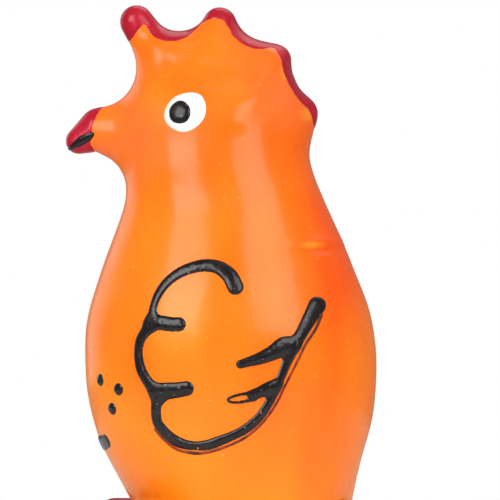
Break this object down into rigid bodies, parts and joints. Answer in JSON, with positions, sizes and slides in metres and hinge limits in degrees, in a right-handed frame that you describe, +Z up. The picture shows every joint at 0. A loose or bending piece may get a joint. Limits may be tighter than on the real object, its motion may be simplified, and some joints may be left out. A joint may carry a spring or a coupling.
{
  "type": "squeaking rubber chicken",
  "caption": "Squat hollow latex chicken with a painted comb, beak, eyes, wings and toes, stuffed with wadding around a sprung bellows squeaker.",
  "frame": {"origin": "centre of the bounding box's bottom face, on the plane the toes stand on", "axes": "+Z up through the comb, -X the way the beak points, +Y the chicken's right side"},
  "size_m": [0.0865, 0.0758, 0.1499],
  "materials": {
    "latex": "gloss",
    "red_paint": "gloss",
    "black_paint": "gloss",
    "white_paint": "satin",
    "wadding": "matte",
    "clear_shell": "satin",
    "reed_film": "gloss"
  },
  "bodies": {
    "moulding": {"latex_skin": "latex", "comb_paint": "red_paint", "beak_paint": "red_paint", "mouth_line": "black_paint", "eye_white_left": "white_paint", "eye_white_right": "white_paint", "pupil_left": "black_paint", "pupil_right": "black_paint", "wing_outline_left": "black_paint", "wing_outline_right": "black_paint", "chest_dot_high_left": "black_paint", "chest_dot_high_right": "black_paint", "chest_dot_mid_left": "black_paint", "chest_dot_mid_right": "black_paint", "chest_dot_low_left": "black_paint", "chest_dot_low_right": "black_paint", "chest_mark": "black_paint", "front_toe_paint_left": "red_paint", "front_toe_paint_right": "red_paint", "hind_toe_paint_left": "red_paint", "hind_toe_paint_right": "red_paint", "base_patch": "latex", "stuffing_upper": "wadding", "stuffing_lower": "wadding", "squeaker_cup": "clear_shell", "squeaker_bellows": "clear_shell", "reed_tube": "clear_shell", "reed_seat": "clear_shell"},
    "press_cap": {"squeaker_cap": "clear_shell"},
    "tongue": {"reed_tongue": "reed_film"}
  },
  "joints": [
    {"name": "squeaker_press", "type": "slide", "parent": "moulding", "child": "press_cap", "axis": [0, 1, 0], "range_m": [0, 0.0055], "stiffness_N_per_m": 350, "deforming": ["squeaker_bellows"]},
    {"name": "reed_flex", "type": "hinge", "parent": "moulding", "child": "tongue", "pos_m": [0.003, 0.0094, 0.04645], "axis": [1, 0, 0], "range_deg": [-5, 0], "stiffness_Nm_per_rad": 0.0004}
  ]
}
